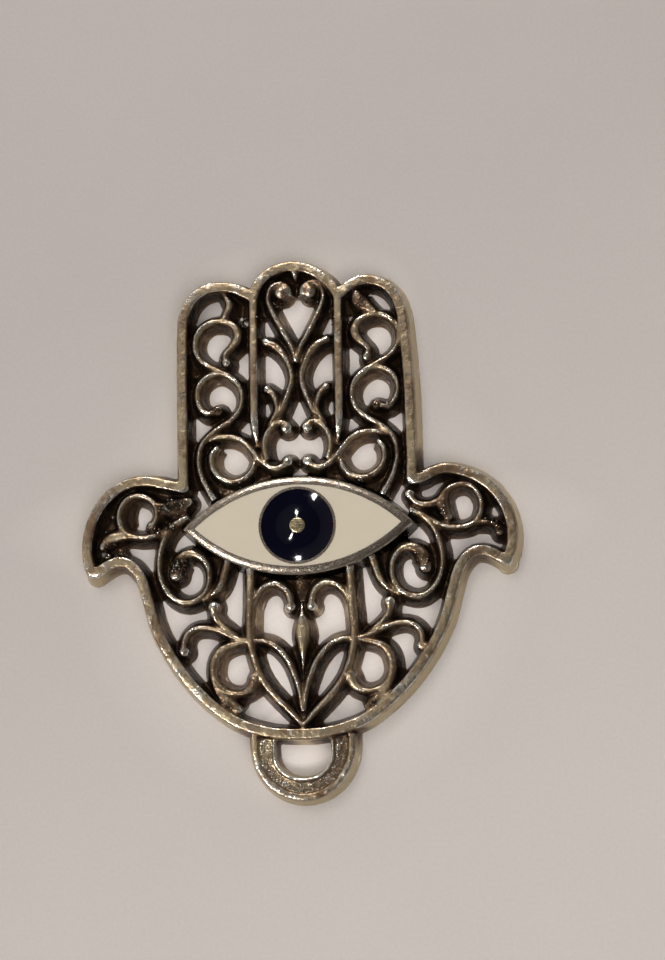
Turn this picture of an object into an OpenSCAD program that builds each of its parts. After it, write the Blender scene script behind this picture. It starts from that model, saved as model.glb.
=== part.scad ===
/* [Hand] */
// From the middle of the eye to the top of the middle finger
middle_h = 30; // [28:0.5:34]
// From the middle of the eye to the top of a side finger
side_h = 28; // [26:0.5:30]
// From the middle of the eye to the foot of the palm
palm_h = 23.2; // [21:0.2:27]
// Width across the straight sides of the fingers
hand_w = 26.8; // [25:0.2:30]
// Width of the middle finger, between the middles of its two bars
middle_w = 9.5; // [8.5:0.1:10.5]
// Width across the two thumbs
span_w = 48.6; // [46:0.2:54]
// From the middle of the eye up to the top of a thumb
thumb_h = 6.2; // [5.5:0.1:7.5]
// From the middle of the eye down to the tip of a thumb
thumb_drop = 5.4; // [4.5:0.1:6.5]
// Width of the palm just below the thumbs
palm_w = 35.4; // [33:0.2:38]
// How far the foot of the palm sits to the right of the eye's middle
palm_lean = 0.3; // [0:0.05:0.6]

/* [Metal] */
// Thickness of the outer frame
frame_t = 2.5; // [2:0.1:3.5]
// Width of the outer frame along its top
frame_w = 1.15; // [0.9:0.05:1.5]
// Thickness of the scrollwork
scroll_t = 2.25; // [1.8:0.05:3]
// Width of a scroll's line, just under its rounded top
line_w = 0.9; // [0.7:0.05:1.1]
// Slope of the frame's cast walls, away from upright
draft = 13; // [8:1:16]
// Slope of the scrollwork's cast walls, away from upright
scroll_draft = 19; // [12:1:22]
// Height of the rounding along the frame's edges
frame_round = 0.2; // [0.1:0.05:0.4]
// Height of the rounded top of a scroll's line
line_round = 0.4; // [0.2:0.05:0.6]
// Width of the bead that ends a scroll
bead_d = 1.15; // [0.9:0.05:1.4]
// Thickness of the thin webs that close the narrowest gaps
web_t = 0.9; // [0.6:0.1:1.4]

/* [Eye] */
// Length of the eye from tip to tip
eye_l = 25.4; // [24:0.2:27]
// Height of the eye
eye_h = 10.8; // [9.8:0.2:12]
// Thickness of the casting under the eye's rim
eye_t = 2.8; // [2.4:0.1:3.6]
// Width of the eye's rim
eye_rim = 0.9; // [0.7:0.05:1.2]
// Depth of the two pockets for the enamel
pocket_depth = 0.8; // [0.5:0.05:1]
// Diameter of the blue enamel
iris_d = 8; // [7:0.1:8.6]
// Width of the metal ring round the blue enamel
iris_ring = 0.3; // [0.2:0.05:0.5]
// Diameter of the metal dot in the middle of the eye
pupil_d = 2; // [1.4:0.1:2.4]
// How far the enamel stays below the rim
enamel_drop = 0.1; // [0:0.05:0.3]
// Clearance between enamel and pocket wall
enamel_gap = 0.03; // [0.02:0.01:0.06]

/* [Bail] */
// Width of the loop
bail_w = 11.3; // [10.2:0.1:13]
// How far the loop reaches below the foot of the palm
bail_drop = 6.5; // [6:0.1:8]
// Width of the loop's opening
opening_w = 6.4; // [5.4:0.1:7]
// Height of the loop's opening
opening_h = 4.3; // [3.6:0.1:4.6]
// Thickness of the loop's border
bail_t = 2.3; // [1.8:0.1:3]
// Width of the loop's smooth border
border_w = 0.75; // [0.5:0.05:1]
// Depth of the loop's sunk field
field_depth = 0.3; // [0.15:0.05:0.5]

/* [Hidden] */

// The ornament is drawn on a grid of small squares with its zero in the
// middle of the eye. The places in the tables below are counted in squares,
// and each zone stretches its squares to the named sizes. These are the
// squares that each zone has up to the middle of the bar at its far edge.
grid_middle_up = 29.425;
grid_side_up = 27.425;
grid_split = 4.75;
grid_edge = 12.85;
grid_thumb_out = 23.75;
grid_thumb_up = 5.6;
grid_thumb_down = 4.8;
grid_palm_out = 17.15;
grid_palm_down = 22.6;

// A line that gets thin also gets lower, by this share of its height
thin_drop = 0.4;
// Inside a curl the wall's foot reaches this share of the way to the curl's centre
curl_fill = 0.8;
// How far an edge's rounding goes sideways, as a share of its height
edge_lean = 0.7;
// A line bends by about this much between two of its sections
turn_step = 24;
// All walls run on this far behind the back and are then cut off flat
back_cut = 0.4;
// How far a bead of the named size stands above its line
bead_rise = bead_d / 8;
// Straight part of the loop and of its opening, above the round part
bail_shoulder = bail_w * 0.09;
opening_shoulder = opening_h * 0.37;
eye_sides = 72;
iris_sides = 40;
pupil_sides = 16;
bail_sides = 36;
stud_sides = 7;

// Middle lines of the frame's bars, inside the outer sizes
split_x = middle_w / 2;
edge_x = (hand_w - frame_w) / 2;
thumb_x = (span_w - frame_w) / 2;
thumb_top = thumb_h - frame_w / 2;
thumb_low = thumb_drop - frame_w / 2;
palm_x = (palm_w - frame_w) / 2;
foot_y = palm_h - frame_w / 2;
arch_top = middle_h - frame_w / 2;
finger_top = side_h - frame_w / 2;

// Each zone's place on the pendant. Columns of a place: across, up, width
function width_of(p) = len(p) > 2 ? p[2] : 1;
function in_middle(p) = [p[0] * split_x / grid_split, p[1] * arch_top / grid_middle_up, width_of(p)];
function in_side(p) =
    [split_x + (p[0] - grid_split) * (edge_x - split_x) / (grid_edge - grid_split),
     p[1] * finger_top / grid_side_up, width_of(p)];
function in_thumb(p) =
    [edge_x + (p[0] - grid_edge) * (thumb_x - edge_x) / (grid_thumb_out - grid_edge),
     p[1] * (p[1] > 0 ? thumb_top / grid_thumb_up : thumb_low / grid_thumb_down), width_of(p)];
function in_palm(p) = [p[0] * palm_x / grid_palm_out, p[1] * foot_y / grid_palm_down, width_of(p)];

// The palm's ornament leans a little to the right, from the thumbs to the foot
lean_depth = palm_h / 2;
function lean(y) = palm_lean * min(1, max(0, -y / lean_depth));
function on_side(points, side) = [for (p = points) [side * p[0] + lean(p[1]), p[1], p[2]]];
function upright(points, side) = [for (p = points) [side * p[0], p[1], p[2]]];

// Middle lines of the outer frame, which is a little different on each side.
// Columns: across, up
ARCH = [[-4.75, 26], [-4.5, 27], [-3.7, 28.2], [-2.4, 29], [-0.7, 29.4], [0.9, 29.2], [2.1, 28.7], [3.1, 28],
    [4, 27.1], [4.75, 26]];
LEFT_FINGER = [[4.9, 26.1], [5.9, 26.7], [7.3, 27.25], [8.9, 27.4], [10.5, 27.1], [11.8, 26.1], [12.55, 24.6],
    [12.85, 22.6], [12.85, 13], [12.75, 4.7]];
RIGHT_FINGER = [[4.9, 25.9], [6, 26.8], [7.1, 27.35], [8.3, 27.4], [9.5, 27.1], [10.5, 26.4], [11.3, 25.3],
    [11.8, 23.8], [12.05, 22], [12.5, 16], [12.65, 9], [12.65, 4.7]];
LEFT_THUMB = [[12.75, 4.7], [14.4, 5.05], [16, 5.45], [17.6, 5.6], [19, 5.4], [20.2, 4.85], [21.4, 3.9],
    [22.5, 2.5], [23.25, 0.8], [23.6, -0.9], [23.6, -2.4], [23.4, -3.6], [22.9, -4.6]];
RIGHT_THUMB = [[12.65, 4.7], [13.6, 4.8], [14.7, 5.4], [15.9, 5.75], [17.1, 5.7], [18.7, 5.2], [20.1, 4.5],
    [21.4, 3.4], [22.5, 1.9], [23.15, 0.2], [23.4, -1.6], [23.2, -3.2], [22.7, -4.6]];
THUMB_UNDER = [[22.8, -4.6], [21.7, -3.95], [20.8, -3.5], [19.95, -3.3], [19.15, -3.45], [18.4, -4]];
PALM_FRAME = [[17.7, -4.9], [17.25, -5.9], [16.6, -8.2], [15.95, -10.5], [14.8, -12.9], [13.2, -15.4],
    [11.3, -17.7], [9, -19.8], [6.5, -21.4], [3.4, -22.35], [0.8, -22.6], [-0.8, -22.6]];
DIVIDER = [[4.75, 26.2], [4.75, 14], [4.65, 11, 0.8], [4.45, 8.9, 0.4]];
CUSP = [[0, 29, 1.6], [0, 28.3, 1], [0, 27.7, 0.4]];

// Scrollwork of a side finger. Columns: across, up, width. A line that curls
// back onto itself is drawn as two, which share a stretch.
SIDE_LINES = [
    [[7.8, 18.7, 1.1], [8.1, 19.6], [7.2, 20.5, 1.2], [6.5, 21.5, 1.5], [6.9, 22.8, 1.2], [8.2, 23.5],
     [9.6, 23.5]],
    [[8.2, 23.5], [9.6, 23.5], [10.8, 22.8], [11.5, 21.5], [11.4, 20], [10.5, 18.8], [9.1, 18], [7.8, 17.3],
     [6.7, 16.4], [6.1, 15], [6.3, 13.5], [7.2, 12.3], [8.6, 11.4], [10, 10.4], [10.8, 9.3], [11.1, 7.9],
     [10.9, 6.4], [10.3, 4.9], [9.3, 3.2]],
    [[8.9, 13.4, 1.1], [10, 13], [10.9, 13.7], [11.3, 15], [11, 16.3], [10.1, 17.2], [8.9, 17.6],
     [7.6, 17.3]],
    [[9.9, 9.9, 0.8], [8.8, 10.3], [7.3, 10.3], [6, 9.7], [5, 8.6], [4.4, 7.8], [3.5, 6.95], [2.5, 6.5],
     [1.7, 6.75], [1.05, 7.3, 1.1]],
    [[8.9, 9.3, 0.8], [9.6, 8.4], [9.6, 7], [8.8, 5.8], [7.4, 5.2], [6, 5.5], [5, 6.5], [4.7, 7.9, 0.8]]
];

// Leaf at the tip of each side finger. Columns: across, up, width
LEFT_TIP = [[8.5, 27, 0.6], [7.9, 26.2], [7.4, 25.4, 1.4], [7.8, 24.5, 1.2], [8.2, 23.6]];
RIGHT_TIP = [[6.9, 26.3, 1], [6.85, 25.6, 1.9], [7.4, 24.85, 2.2], [8.4, 24.1, 1.5], [9.3, 23.5, 0.8]];

// Scrollwork of one half of the middle finger. Columns: across, up, width
MIDDLE_LINES = [
    [[0.8, 26.1], [0.8, 27], [1.7, 27.6], [2.7, 27.2], [3.15, 26.1], [2.9, 24.8], [1.3, 21.6],
     [0.5, 20.2], [0, 18.4]],
    [[3.5, 20.9, 1.1], [2.5, 20.5, 1.3], [1.5, 19.5, 1.2], [0.8, 18.1], [0.5, 16.8], [0.8, 15.4],
     [1.8, 13], [2.1, 12.2, 0.7]],
    [[3.4, 15.5, 1.1], [2.7, 15, 1.2], [2.3, 14], [2.2, 13], [2.7, 12.1], [3.3, 11.2, 0.7]],
    [[1.15, 11.1], [1.3, 11.6], [1.9, 11.8], [2.6, 11.4], [3.3, 10.7], [3.7, 9.6], [3.7, 8.5], [3.4, 7.4]]
];

// Scrollwork of a thumb. Columns: across, up, width
THUMB_LINES = [
    [[16.9, 3.8], [17.9, 4.1], [18.95, 3.9], [19.75, 3.1], [20.15, 1.9], [19.85, 0.4], [18.9, -0.45],
     [17.5, -0.7], [16, -0.5], [14.9, 0.05], [13.6, 0.85], [12.3, 1.45]]
];
// The head of the ring, the inner leaf and the outer leaf, which differ on the two thumbs
LEFT_THUMB_LEAVES = [
    [[16.45, 0.4, 1.1], [15.9, 1.2], [15.7, 2.2], [16.05, 3.1], [16.9, 3.8], [17.9, 4.1]],
    [[16.2, 3, 0.9], [15.1, 2.45, 1.8], [13.9, 2.5, 2.2], [12.9, 2.9, 1.9], [12.35, 3.4, 1.2]],
    [[18.6, -0.5, 1.1], [19.7, -0.4, 1.5], [20.8, -0.6, 1.9], [21.7, -1.2, 1.6], [22.1, -2, 1]]
];
RIGHT_THUMB_LEAVES = [
    [[16.5, 0.5, 1.3], [16.05, 1.2, 1.6], [15.9, 2.2, 1.6], [16.15, 3.1, 1.3], [16.9, 3.8], [17.9, 4.1]],
    [[16.2, 3.1, 0.8], [15.1, 2.1, 1.2], [13.9, 1.9, 1.2], [12.8, 2.3], [12.3, 3.2, 1.2]],
    [[19.6, -0.2], [20.6, -0.25], [21.5, -0.5], [22, -1.3]]
];

// Scrollwork of one half of the palm. Columns: across, up, width
PALM_LINES = [
    [[12.9, 1.1, 0.8], [14.1, 0.3], [15, -0.9], [15.5, -2.6], [15.65, -4.4], [15.2, -6.2], [14.2, -7.5],
     [12.9, -8.1, 1.1], [11.5, -7.8, 1.1], [10.5, -6.9], [10.05, -5.6], [10.15, -4.3]],
    [[10.05, -5.6], [10.15, -4.3], [10.8, -3.2], [12, -2.6, 1.3], [13, -2.95, 1.6], [13.55, -3.8, 2],
     [13.75, -5, 1.5]],
    [[7.8, -3.1, 1.2], [8.7, -5.9, 1.2], [9.5, -7], [10.9, -7.9, 0.8]],
    [[9.7, -8.5, 1.3], [9.7, -9.5, 1.2], [9.2, -10.3], [8.2, -11.2], [7.1, -11.9, 0.7]],
    [[13.1, -13.3, 1.2], [13.1, -12.3, 1.1], [12.55, -11.35], [11.6, -10.85], [10.3, -10.9], [8.9, -11.35],
     [7.3, -12.1], [6, -12.5]],
    [[6, -12.6, 0.8], [7.1, -12.7], [8.3, -13, 1.2], [9.3, -13.7, 1.3], [9.8, -15, 1.4], [9.75, -16.3, 1.3],
     [9, -17.5, 1.1], [7.8, -18.1], [6.5, -18.1, 1.1], [5.5, -17.4, 1.5], [5.2, -16.5, 1.5]],
    [[10, -16.4, 0.9], [9.3, -17.8, 1.2], [8.4, -18.9, 1.8], [7.5, -19.7, 2], [6.8, -20.2, 1.1]],
    [[5.5, -4.4, 1.3], [5.6, -8.5, 1.4], [5.75, -10.6, 1.4], [5.7, -12.4, 1.3], [5.35, -14.2, 1.2],
     [4.75, -16, 1.2], [3.85, -17.5, 1.2], [2.65, -18.9, 1.2], [1.15, -20.4, 1.1], [0, -21.8]],
    [[5.3, -8.7, 0.8], [4.9, -7.4], [4.1, -6.6], [3.2, -6.25, 1.1], [2.3, -6.4, 1.1], [1.5, -7.1, 1.1],
     [1.15, -8.1, 1.1], [1.1, -8.8, 1.1]],
    [[5.6, -12.4, 0.9], [4.3, -12.45], [3.2, -12.9], [2.3, -13.7], [1.5, -14.8], [0.9, -16.2], [0.35, -17.9],
     [0.1, -20.2, 0.8]]
];

// Bud and stalk near the palm's middle line. Columns: across, up, width
BUD = [[0.05, -8.3, 0.4], [0.05, -9.4, 0.7], [0.05, -10.7, 1.7], [0.05, -12, 2.1], [0.05, -13.3, 1.4],
    [0.05, -14.8, 0.7], [0.05, -17, 0.4], [0.05, -21.8, 0.6]];

// Beads at the ends of the scrolls. Columns: across, up, size
SIDE_BEADS = [[8.9, 13.3, 1], [7.9, 18.7, 0.95]];
MIDDLE_BEADS = [[1.6, 26.5, 1.4], [1.2, 11.1, 1.1], [1.1, 7.25, 1], [3.4, 20.9, 0.9], [3.3, 15.5, 0.9]];
THUMB_BEADS = [[16.4, 0.5, 1], [12.35, 3.1, 1]];
RIGHT_THUMB_BEAD = [22, -1.3, 0.95];
PALM_BEADS = [[13.75, -4.9, 1.3], [9.7, -8.6, 1.1], [13.1, -13.4, 1.1], [5.2, -16.4, 1.1],
    [1.15, -8.8, 1]];

// Webs that close narrow gaps. Columns: across, up, width
SIDE_WEBS = [[[12.2, 18.6], [11.8, 17.4]], [[8.8, 4.2, 1.3], [6.6, 4.7], [4.6, 5.3], [3.2, 5.8]],
    [[10, 5.6, 1.5], [9.3, 4.4, 1.5]], [[5.5, 25.6], [5.7, 23.8]]];
THUMB_WEBS = [[[15.2, 1], [13.4, 1.6]]];
// Webs that are drawn once
CUSP_WEB = [[0, 28], [0, 26.4]];
BUD_WEB = [[0.02, -5.4, 2], [0.02, -8.7]];
LEFT_THUMB_WEBS = [[[16, 3.9, 1.6], [13.2, 3.3, 1.6]], [[19.7, -1.3, 1.8], [21.5, -2.2, 2.4]],
    [[20.6, 1.4, 1.6], [21.3, 0.2, 1.8]], [[18.6, 3.2, 0.8], [19.2, 2, 1.3], [18.8, 0.7, 0.8]]];
PALM_WEBS = [[[9.3, -2.5], [9.3, -4.8], [9.7, -6]], [[5.4, -4.9], [-0.5, -5.8]],
    [[10.7, -16.6], [9.6, -18.6]], [[13.4, -13.6], [13.8, -14.4]]];

// Length in the plane of the pendant, without the width in a place's last column
function flat_norm(v) = norm([v[0], v[1]]);

// A smooth curve through hand-placed points, cut into short stretches
function curve(a, b, c, d, t) =
    (2 * b + (c - a) * t + (2 * a - 5 * b + 4 * c - d) * t * t + (3 * b - a - 3 * c + d) * t * t * t) / 2;
function angle(a, b, c) =
    let (u = b - a, v = c - b)
    acos(min(1, (u[0] * v[0] + u[1] * v[1]) / flat_norm(u) / flat_norm(v)));
function smooth(points) =
    let (last = len(points) - 1)
    [for (i = [0 : last - 1])
        let (b = points[i], c = points[i + 1],
             a = i > 0 ? points[i - 1] : 2 * b - c,
             d = i < last - 1 ? points[i + 2] : 2 * c - b,
             n = max(1, round((angle(a, b, c) + angle(b, c, d)) / 2 / turn_step)))
        for (k = [0 : n - 1]) curve(a, b, c, d, k / n),
     points[last]];

// Section across a cast line: sloping walls, rounded edges and a flat top or a crest
function section(w, h, round, flat) =
    let (wall = flat ? draft : scroll_draft, foot = w / 2 + (h - round + back_cut) * tan(wall),
         top = w / 2 - round * edge_lean)
    concat([[-foot, -back_cut], [-w / 2, h - round]],
           flat ? [[-top, h], [top, h]] : [[0, h]],
           [[w / 2, h - round], [foot, -back_cut]]);

// How sharply a path bends at one of its points, positive to the left
function bend(path, i) =
    let (last = len(path) - 1, j = max(1, min(i, last - 1)), u = path[j] - path[j - 1],
         v = path[min(j + 1, last)] - path[min(j, last - 1)])
    2 * (u[0] * v[1] - u[1] * v[0]) / flat_norm(u) / flat_norm(v) / flat_norm(u + v);
// Inside a tight curl the wall's foot stops short of the curl's centre
function reach(s, k) = s * k > 0 ? sign(s) * min(abs(s), curl_fill / abs(k)) : s;

// The section's points at one place of a path
function station(path, i, w, h, round, flat) =
    let (p = path[i],
         way = path[min(i + 1, len(path) - 1)] - path[max(i - 1, 0)],
         across = [-way[1], way[0]] / flat_norm(way),
         k = bend(path, i),
         low = 1 - thin_drop * max(0, 1 - p[2]))
    [for (s = section(w * p[2], h * low, min(round, w * p[2] / 2), flat))
        [p[0] + across[0] * reach(s[0], k), p[1] + across[1] * reach(s[0], k), s[1]]];

// A cast line: its sections joined into one body, from a path's first point to its last
module line(points, w, h, round, flat = false) {
    path = smooth(points);
    sweep([for (i = [0 : len(path) - 1]) station(path, i, w, h, round, flat)]);
}
module sweep(rings) {
    n = len(rings[0]);
    last = len(rings) - 1;
    sides = [for (i = [0 : last - 1], k = [0 : n - 1], half = [0, 1])
        let (a = i * n + k, b = i * n + (k + 1) % n)
        half == 0 ? [a, b, b + n] : [a, b + n, a + n]];
    polyhedron([for (ring = rings) each ring],
        concat([[for (k = [n - 1 : -1 : 0]) k]], sides, [[for (k = [0 : n - 1]) last * n + k]]));
}

// A round stud with the same sloping wall as the lines
module stud(at, d, h, slope) {
    dome = d / 3;
    wall = h - dome + back_cut;
    translate([at[0], at[1], -back_cut])
        hull() {
            cylinder(d1 = d + 2 * wall * tan(slope), d2 = d, h = wall, $fn = stud_sides);
            cylinder(d = d / 2, h = h + back_cut, $fn = stud_sides);
        }
}

module frame_line(points) line(points, frame_w, frame_t, frame_round, flat = true);
module half_frame(finger, thumb, side) {
    around = [for (p = thumb) in_thumb(p)];
    under = concat([for (p = THUMB_UNDER) in_thumb(p)], [for (p = PALM_FRAME) in_palm(p)]);
    frame_line(upright([for (p = finger) in_side(p)], side));
    frame_line(upright(around, side));
    frame_line(upright(under, side));
    for (corner = [around[0], around[len(around) - 1]])
        stud([side * corner[0], corner[1]], frame_w, frame_t, draft);
}
module frame() {
    half_frame(LEFT_FINGER, LEFT_THUMB, -1);
    half_frame(RIGHT_FINGER, RIGHT_THUMB, 1);
    frame_line([for (p = ARCH) in_middle(p)]);
    line([for (p = CUSP) in_middle(p)], line_w, frame_t, line_round);
    for (side = [-1, 1])
        line(upright([for (p = DIVIDER) in_side(p)], side), line_w, frame_t, frame_round, flat = true);
}

module scroll(points, side) line(on_side(points, side), line_w, scroll_t, line_round);
module web(points, side) line(on_side(points, side), line_w, web_t, web_t / 4);
module bead(p, side) {
    at = on_side([p], side)[0];
    stud(at, bead_d * at[2], scroll_t + bead_rise * at[2], scroll_draft);
}
module scrollwork() {
    for (side = [-1, 1]) {
        for (points = SIDE_LINES) scroll([for (p = points) in_side(p)], side);
        for (points = MIDDLE_LINES) scroll([for (p = points) in_middle(p)], side);
        for (points = THUMB_LINES) scroll([for (p = points) in_thumb(p)], side);
        for (points = PALM_LINES) scroll([for (p = points) in_palm(p)], side);
        for (p = SIDE_BEADS) bead(in_side(p), side);
        for (p = MIDDLE_BEADS) bead(in_middle(p), side);
        for (p = THUMB_BEADS) bead(in_thumb(p), side);
        for (p = PALM_BEADS) bead(in_palm(p), side);
        for (points = SIDE_WEBS) web([for (p = points) in_side(p)], side);
        for (points = THUMB_WEBS) web([for (p = points) in_thumb(p)], side);
        for (points = PALM_WEBS) web([for (p = points) in_palm(p)], side);
    }
    for (points = LEFT_THUMB_LEAVES) scroll([for (p = points) in_thumb(p)], -1);
    for (points = RIGHT_THUMB_LEAVES) scroll([for (p = points) in_thumb(p)], 1);
    for (points = LEFT_THUMB_WEBS) web([for (p = points) in_thumb(p)], -1);
    bead(in_thumb(RIGHT_THUMB_BEAD), 1);
    web([for (p = CUSP_WEB) in_middle(p)], 1);
    web([for (p = BUD_WEB) in_palm(p)], 1);
    scroll([for (p = LEFT_TIP) in_side(p)], -1);
    scroll([for (p = RIGHT_TIP) in_side(p)], 1);
    scroll([for (p = BUD) in_palm(p)], 1);
}

// Outline of the eye, two arcs that meet at its tips, drawn in by an inset
eye_r = (pow(eye_l / 2, 2) + pow(eye_h / 2, 2)) / eye_h;
module almond(inset) {
    intersection_for (up = [-1, 1])
        translate([0, up * (eye_r - eye_h / 2)])
            circle(eye_r - inset, $fn = eye_sides);
}

pocket_floor = eye_t - pocket_depth;
module eye() {
    edge = frame_round / 2;
    difference() {
        hull() {
            linear_extrude(eye_t) almond(edge);
            linear_extrude(eye_t - edge) almond(0);
            translate([0, 0, -back_cut]) linear_extrude(edge) almond(-(eye_t + back_cut) * tan(draft));
        }
        translate([0, 0, pocket_floor])
            linear_extrude(eye_t) almond(eye_rim);
    }
    difference() {
        cylinder(d = iris_d + 2 * iris_ring, h = eye_t, $fn = iris_sides);
        translate([0, 0, pocket_floor]) cylinder(d = iris_d, h = eye_t, $fn = iris_sides);
    }
    cylinder(d = pupil_d, h = eye_t, $fn = pupil_sides);
}

bail_top = -foot_y;
bail_foot = palm_h + bail_drop - foot_y;
module bail_outline(inset) {
    translate([palm_lean, bail_top - bail_shoulder]) {
        intersection() {
            scale([bail_w / 2 - inset, bail_foot - bail_shoulder - inset]) circle(1, $fn = bail_sides);
            translate([-bail_w, -2 * bail_w]) square(2 * bail_w);
        }
        translate([inset - bail_w / 2, 0]) square([bail_w - 2 * inset, bail_shoulder]);
    }
}
module opening_outline(grow) {
    translate([palm_lean, -palm_h - opening_shoulder])
        hull() {
            translate([-opening_w / 2 - grow, 0]) square([opening_w + 2 * grow, opening_shoulder + grow]);
            scale([opening_w / 2 + grow, opening_h - opening_shoulder + grow]) circle(1, $fn = bail_sides);
        }
}
module bail() {
    slope = (bail_t + back_cut) * tan(draft);
    difference() {
        hull() {
            linear_extrude(bail_t) bail_outline(0);
            translate([0, 0, -back_cut]) linear_extrude(frame_round) bail_outline(-slope);
        }
        hull() {
            translate([0, 0, bail_t]) linear_extrude(frame_round) opening_outline(0);
            translate([0, 0, -back_cut - frame_round]) linear_extrude(frame_round) opening_outline(-slope);
        }
        translate([0, 0, bail_t - field_depth])
            linear_extrude(bail_t) difference() {
                bail_outline(border_w);
                opening_outline(border_w / 3);
            }
    }
}

module hamsa_casting() color("silver") {
    all_round = 2 * (middle_h + palm_h + bail_drop);
    difference() {
        union() {
            frame();
            difference() {
                scrollwork();
                linear_extrude(3 * eye_t, center = true) almond(eye_rim / 2);
            }
            eye();
            bail();
        }
        translate([0, 0, -all_round / 2]) cube(all_round, center = true);
    }
}

module white_enamel() color("ivory") {
    translate([0, 0, pocket_floor])
        linear_extrude(pocket_depth - enamel_drop)
            difference() {
                almond(eye_rim + enamel_gap);
                circle(d = iris_d + 2 * iris_ring + 2 * enamel_gap, $fn = iris_sides);
            }
}

module blue_enamel() color("midnightblue") {
    translate([0, 0, pocket_floor])
        linear_extrude(pocket_depth - enamel_drop)
            difference() {
                circle(d = iris_d - 2 * enamel_gap, $fn = iris_sides);
                circle(d = pupil_d + 2 * enamel_gap, $fn = pupil_sides);
            }
}

hamsa_casting();
white_enamel();
blue_enamel();
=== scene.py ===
import math
import random

import bmesh
import bpy
import numpy as np
from mathutils import Matrix, Vector
from mathutils.bvhtree import BVHTree


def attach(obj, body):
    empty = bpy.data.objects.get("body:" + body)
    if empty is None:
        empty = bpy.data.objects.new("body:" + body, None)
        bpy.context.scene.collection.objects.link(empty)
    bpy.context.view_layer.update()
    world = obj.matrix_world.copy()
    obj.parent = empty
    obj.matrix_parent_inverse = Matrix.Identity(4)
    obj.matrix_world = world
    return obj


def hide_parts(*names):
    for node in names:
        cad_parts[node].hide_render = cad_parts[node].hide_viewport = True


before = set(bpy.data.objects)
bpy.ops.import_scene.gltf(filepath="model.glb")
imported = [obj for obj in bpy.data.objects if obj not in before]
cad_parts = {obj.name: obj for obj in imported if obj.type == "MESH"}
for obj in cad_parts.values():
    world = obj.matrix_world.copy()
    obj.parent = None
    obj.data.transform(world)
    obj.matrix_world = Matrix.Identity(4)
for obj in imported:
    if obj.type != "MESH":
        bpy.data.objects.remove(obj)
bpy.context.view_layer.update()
bpy.ops.object.select_all(action="DESELECT")

# The pendant is drawn in millimetres and brought to metres when it is finished
METRE = 0.001

# Sizes of the casting. They are the CAD's, but for the scrolls' height and
# rounding, the iris ring and the cut at the back, which differ by up to 0.15 mm.
FRAME_T, FRAME_W, FRAME_ROUND = 2.5, 1.15, 0.2
SCROLL_T, LINE_W, LINE_ROUND = 2.3, 0.9, 0.55
WEB_T = 0.9
DRAFT, SCROLL_DRAFT = math.tan(math.radians(13)), math.tan(math.radians(19))
THIN_DROP = 0.4
CURL_FILL = 0.8
BACK_CUT = 0.3
BEAD_D = 1.15
PALM_LEAN, LEAN_DEPTH = 0.3, 11.6
EYE_L, EYE_H, EYE_T, EYE_RIM = 25.4, 10.8, 2.8, 0.9
POCKET = 0.8
IRIS_D, IRIS_RING, PUPIL_D = 8.0, 0.27, 2.0
PALM_H, FOOT_Y = 23.2, 22.625
BAIL_W, BAIL_FOOT, BAIL_T = 11.3, 29.7, 2.3
OPENING_W, OPENING_H = 6.4, 4.3
BAIL_SHOULDER, OPENING_SHOULDER = BAIL_W * 0.09, OPENING_H * 0.37
BORDER_W, FIELD_DEPTH = 0.75, 0.3

# How the casting's mesh is made: stations along a path, cells of the remesh and
# the unevenness of the cast skin
PATH_STEP, PATH_EVENING = 0.22, 5
VOXEL, MESH_EVENING = 0.11, 4
SKIN_DEPTH, SKIN_SIZE = 0.06, 0.75
CASTING_TRIANGLES = 135000
# The block that cuts the casting flat at the back
BLOCK = 100

# How far from a point other metal still shelters it, and in how many directions
# that is tried
SHELTER_REACH, SHELTER_WAYS = 2.6, 20

# Fine sizes of the eye: its roundings, how deep the ring and the dot stand in the
# floor, how far enamel runs into metal, how far it lies below the rim, and how
# close points are that are merged
RIM_ROUND, PUPIL_ROUND, PUPIL_RISE, WHITE_ROUND = 0.09, 0.35, 0.04, 0.05
SINK, OVERLAP = 0.2, 0.02
WHITE_DROP, BLUE_DROP = 0.07, 0.02
SETTING_MERGE, WHITE_MERGE = 0.008, 0.012

# Smallest and largest grain, in the bail's field and on the leaves
FIELD_GRAIN, LEAF_GRAIN = (0.12, 0.27), (0.17, 0.34)

# Middle lines of the outer frame. Columns: across, up
ARCH = [[-4.75, 26], [-4.5, 27], [-3.7, 28.2], [-2.4, 29], [-0.7, 29.4], [0.9, 29.2], [2.1, 28.7], [3.1, 28],
    [4, 27.1], [4.75, 26]]
LEFT_FINGER = [[4.9, 26.1], [5.9, 26.7], [7.3, 27.25], [8.9, 27.4], [10.5, 27.1], [11.8, 26.1], [12.55, 24.6],
    [12.85, 22.6], [12.85, 13], [12.75, 4.7]]
RIGHT_FINGER = [[4.9, 25.9], [6, 26.8], [7.1, 27.35], [8.3, 27.4], [9.5, 27.1], [10.5, 26.4], [11.3, 25.3],
    [11.8, 23.8], [12.05, 22], [12.5, 16], [12.65, 9], [12.65, 4.7]]
LEFT_THUMB = [[12.75, 4.7], [14.4, 5.05], [16, 5.45], [17.6, 5.6], [19, 5.4], [20.2, 4.85], [21.4, 3.9],
    [22.5, 2.5], [23.25, 0.8], [23.6, -0.9], [23.6, -2.4], [23.4, -3.6], [22.9, -4.6]]
RIGHT_THUMB = [[12.65, 4.7], [13.6, 4.8], [14.7, 5.4], [15.9, 5.75], [17.1, 5.7], [18.7, 5.2], [20.1, 4.5],
    [21.4, 3.4], [22.5, 1.9], [23.15, 0.2], [23.4, -1.6], [23.2, -3.2], [22.7, -4.6]]
THUMB_UNDER = [[22.8, -4.6], [21.7, -3.95], [20.8, -3.5], [19.95, -3.3], [19.15, -3.45], [18.4, -4]]
PALM_FRAME = [[17.7, -4.9], [17.25, -5.9], [16.6, -8.2], [15.95, -10.5], [14.8, -12.9], [13.2, -15.4],
    [11.3, -17.7], [9, -19.8], [6.5, -21.4], [3.4, -22.35], [0.8, -22.6], [-0.8, -22.6]]
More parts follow.
